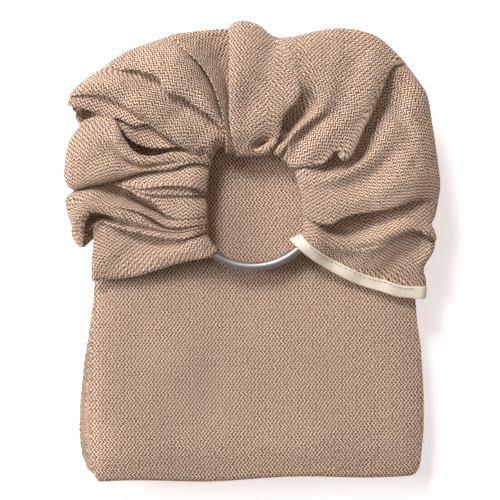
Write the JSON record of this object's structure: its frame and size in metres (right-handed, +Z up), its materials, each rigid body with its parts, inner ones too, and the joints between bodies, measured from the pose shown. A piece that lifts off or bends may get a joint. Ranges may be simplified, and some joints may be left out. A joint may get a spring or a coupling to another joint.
{
  "type": "folded ring sling",
  "caption": "Baby wrap sling folded flat: woven cloth in a zigzag stack, its shoulder end gathered through two metal rings and fanned out in pleats.",
  "frame": {"origin": "on the table, under the centre of the whole folded sling", "axes": "+Z up off the table, +Y along the stack towards the rings and the far, fanned edge, +X to the right, towards the cream edge tape"},
  "size_m": [0.2214, 0.2745, 0.0493],
  "materials": {
    "woven_cloth": "soft matte cotton, zigzag twill of cream over brown",
    "edge_tape": "matte cotton twill tape, cream",
    "sewing_thread": "matte cotton thread",
    "ring_metal": "satin"
  },
  "bodies": {
    "wrap": {"body_fold_1": "woven_cloth", "body_fold_2": "woven_cloth", "body_fold_3": "woven_cloth", "body_fold_4": "woven_cloth", "body_fold_5": "woven_cloth", "body_fold_6": "woven_cloth", "body_fold_7": "woven_cloth", "tail_hem": "woven_cloth", "shoulder_underlay": "woven_cloth"},
    "shoulder": {"ring_casing": "woven_cloth", "tape_side_pleat": "woven_cloth", "right_pleat": "woven_cloth", "upper_right_pleat": "woven_cloth", "crown_pleat": "woven_cloth", "narrow_crown_pleat": "woven_cloth", "upper_left_pleat": "woven_cloth", "left_pleat": "woven_cloth", "rolled_pleat": "woven_cloth", "lower_left_pleat": "woven_cloth", "hem_side_pleat": "woven_cloth", "cream_edge_tape": "edge_tape", "left_edge_hem": "woven_cloth", "tape_stitches": "sewing_thread", "left_hem_stitches": "sewing_thread", "inner_seam_stitches": "sewing_thread", "outer_seam_stitches": "sewing_thread"},
    "front_ring": {"front_ring": "ring_metal"},
    "back_ring": {"back_ring": "ring_metal"}
  },
  "joints": [
    {"name": "shoulder_fold", "type": "hinge", "parent": "wrap", "child": "shoulder", "pos_m": [0, 0.13979, 0.0245], "axis": [-1, 0, 0], "range_deg": [0, 160]},
    {"name": "front_ring_spin", "type": "hinge", "parent": "shoulder", "child": "front_ring", "pos_m": [0.00042, 0.03179, 0.0342], "axis": [0, 0, 1], "continuous": true},
    {"name": "back_ring_spin", "type": "hinge", "parent": "shoulder", "child": "back_ring", "pos_m": [0.00042, 0.03179, 0.0288], "axis": [0, 0, 1], "continuous": true}
  ]
}
